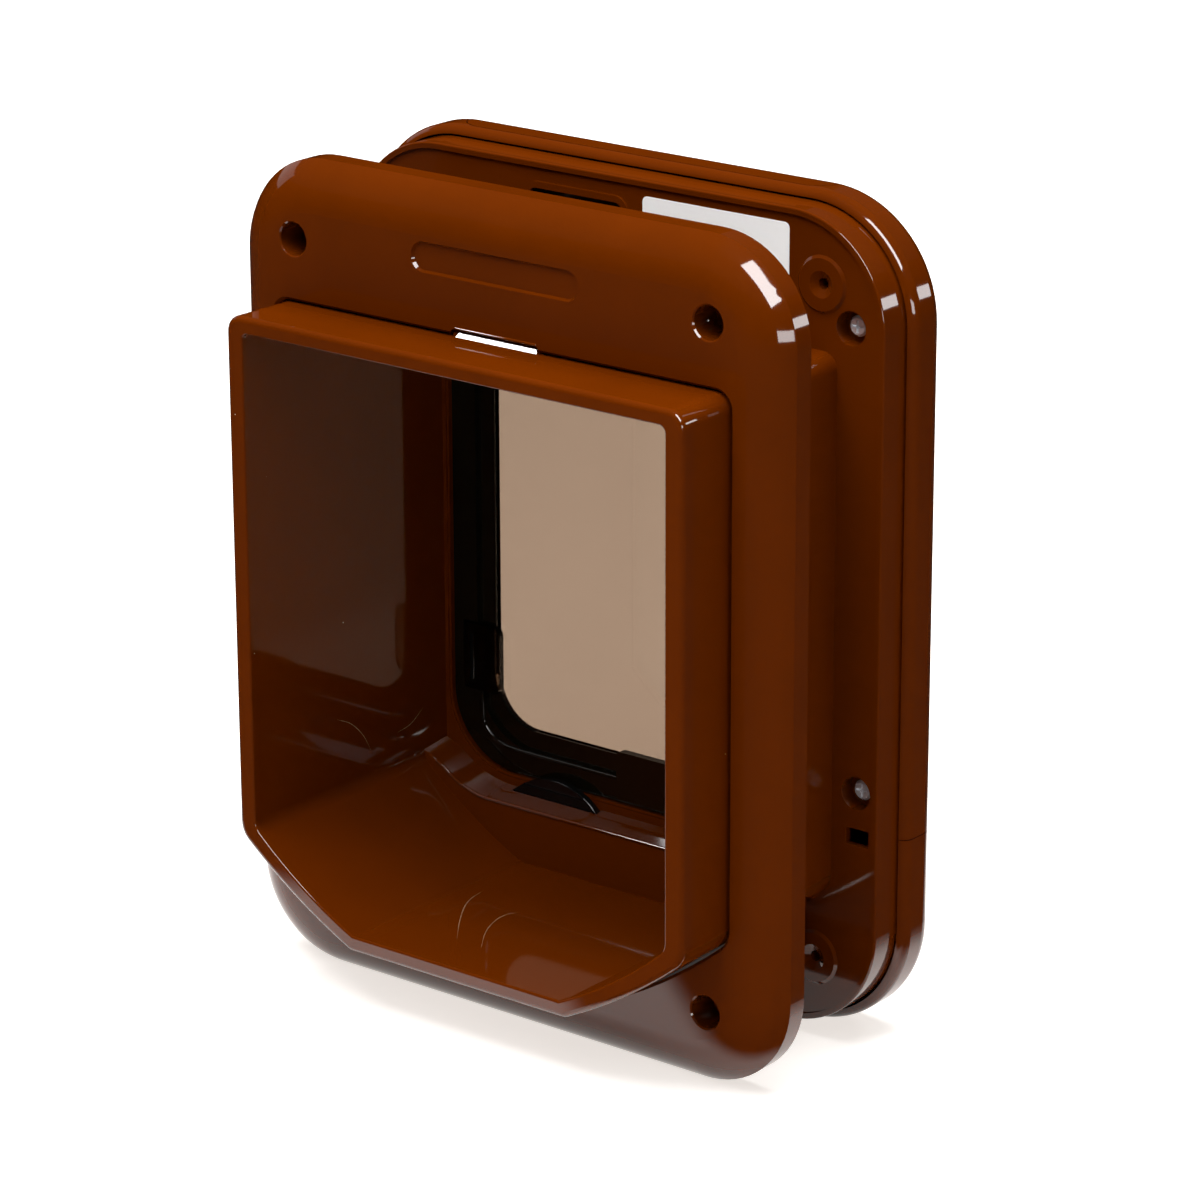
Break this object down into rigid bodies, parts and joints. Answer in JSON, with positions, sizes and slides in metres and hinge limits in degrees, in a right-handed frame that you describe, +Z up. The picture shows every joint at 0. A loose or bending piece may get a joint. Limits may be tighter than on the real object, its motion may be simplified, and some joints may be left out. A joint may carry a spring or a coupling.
{
  "type": "cat flap",
  "caption": "Tunnel cat flap with a crowned outer trim frame, an inner unit with a chip-operated latch, a swinging smoked flap and a turning lock.",
  "frame": {"origin": "centre of the overall box, on the plane that the inner unit stands on; the trim frame hangs 0.9 mm above it", "axes": "+X to the right seen from the outside of the door, +Y from the outside into the room, +Z up"},
  "size_m": [0.2354, 0.1206, 0.293],
  "materials": {
    "brown_gloss": "moulded, high gloss",
    "copper_winding": "varnished winding",
    "screw_steel": "plated",
    "smoked_black": "dark smoked, high gloss",
    "smoked_clear": "smoked clear plastic, polished",
    "clip_clear": "smoked clear plastic",
    "axle_steel": "drawn",
    "magnet_grey": "sintered, matt",
    "lock_black": "moulded, gloss",
    "latch_black": "moulded, satin",
    "solenoid_body": "wound and taped",
    "button_black": "moulded, satin",
    "lamp_clear": "clear, polished",
    "cell_sleeve": "plain printed sleeve",
    "contact_steel": "plated spring steel",
    "tray_black": "moulded, satin",
    "board_green": "lacquered board"
  },
  "bodies": {
    "unit": {"outer_frame": "brown_gloss", "tunnel_liner": "brown_gloss", "tunnel_sleeve": "brown_gloss", "aerial_coil": "copper_winding", "front_shell": "brown_gloss", "rear_shell": "brown_gloss", "lower_cover": "brown_gloss", "case_screws": "screw_steel", "flap_axle": "axle_steel", "latch_solenoid": "solenoid_body", "lamp_lens": "lamp_clear", "battery_cells": "cell_sleeve", "battery_contacts": "contact_steel", "battery_tray": "tray_black", "circuit_board": "board_green"},
    "flap": {"flap_rim": "smoked_black", "flap_pane": "smoked_clear", "flap_magnet": "magnet_grey", "magnet_holder": "smoked_black", "side_clip": "clip_clear"},
    "lock": {"lock_disc": "lock_black", "lock_spindle": "lock_black", "lock_knob": "lock_black"},
    "latch": {"latch_bolt": "latch_black", "latch_plunger": "axle_steel"},
    "button": {"program_button": "button_black"},
    "top_cover": {"battery_cover": "brown_gloss"}
  },
  "joints": [
    {"name": "flap_swing", "type": "hinge", "parent": "unit", "child": "flap", "pos_m": [0, 0.0484, 0.2245], "axis": [1, 0, 0], "range_deg": [0, 80]},
    {"name": "lock_turn", "type": "hinge", "parent": "unit", "child": "lock", "pos_m": [-0.0378, 0.053, 0.0321], "axis": [0, 1, 0], "range_deg": [0, 90]},
    {"name": "latch_lift", "type": "slide", "parent": "unit", "child": "latch", "axis": [0, 0, 1], "range_m": [0, 0.006]},
    {"name": "button_press", "type": "slide", "parent": "unit", "child": "button", "axis": [0, -1, 0], "range_m": [0, 0.0009], "stiffness_N_per_m": 400},
    {"name": "cover_lift", "type": "slide", "parent": "unit", "child": "top_cover", "axis": [0, 0, 1], "range_m": [0, 0.045]}
  ]
}
